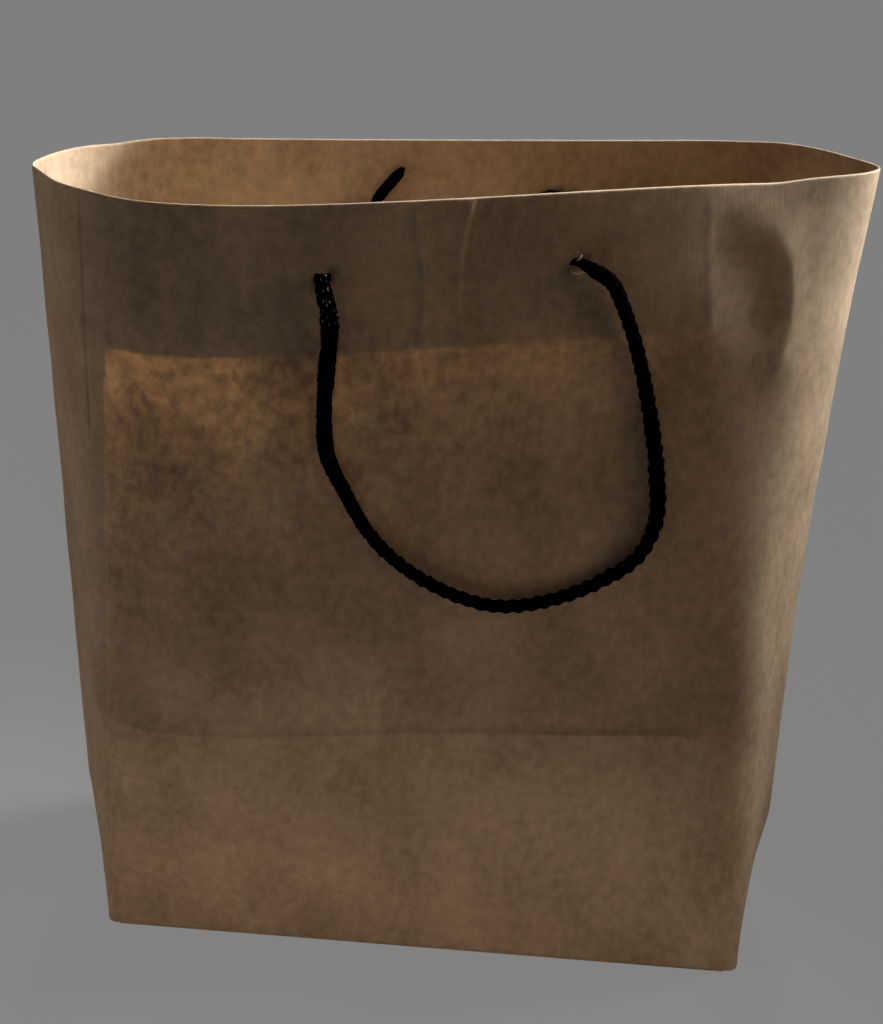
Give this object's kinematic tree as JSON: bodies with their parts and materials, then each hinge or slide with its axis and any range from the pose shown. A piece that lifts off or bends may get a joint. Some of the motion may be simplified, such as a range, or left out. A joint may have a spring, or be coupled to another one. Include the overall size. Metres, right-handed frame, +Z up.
{
  "type": "paper carrier bag",
  "caption": "Open brown kraft paper carrier bag with a block bottom, a turned-in rim and soft black cord handles, for carrying goods.",
  "frame": {"origin": "middle of the bag's base, on the surface it stands on", "axes": "+Z up to the mouth, +X to the right along the front panel, -Y out of the front panel"},
  "size_m": [0.2897, 0.1484, 0.2899],
  "materials": {
    "kraft_paper": "matt, with fine fibres and clouds",
    "black_cord": "soft braid with a slight sheen"
  },
  "bodies": {
    "root": {"paper_bag": "kraft_paper", "front_handle_cord": "black_cord", "rear_handle_cord": "black_cord"}
  },
  "joints": []
}
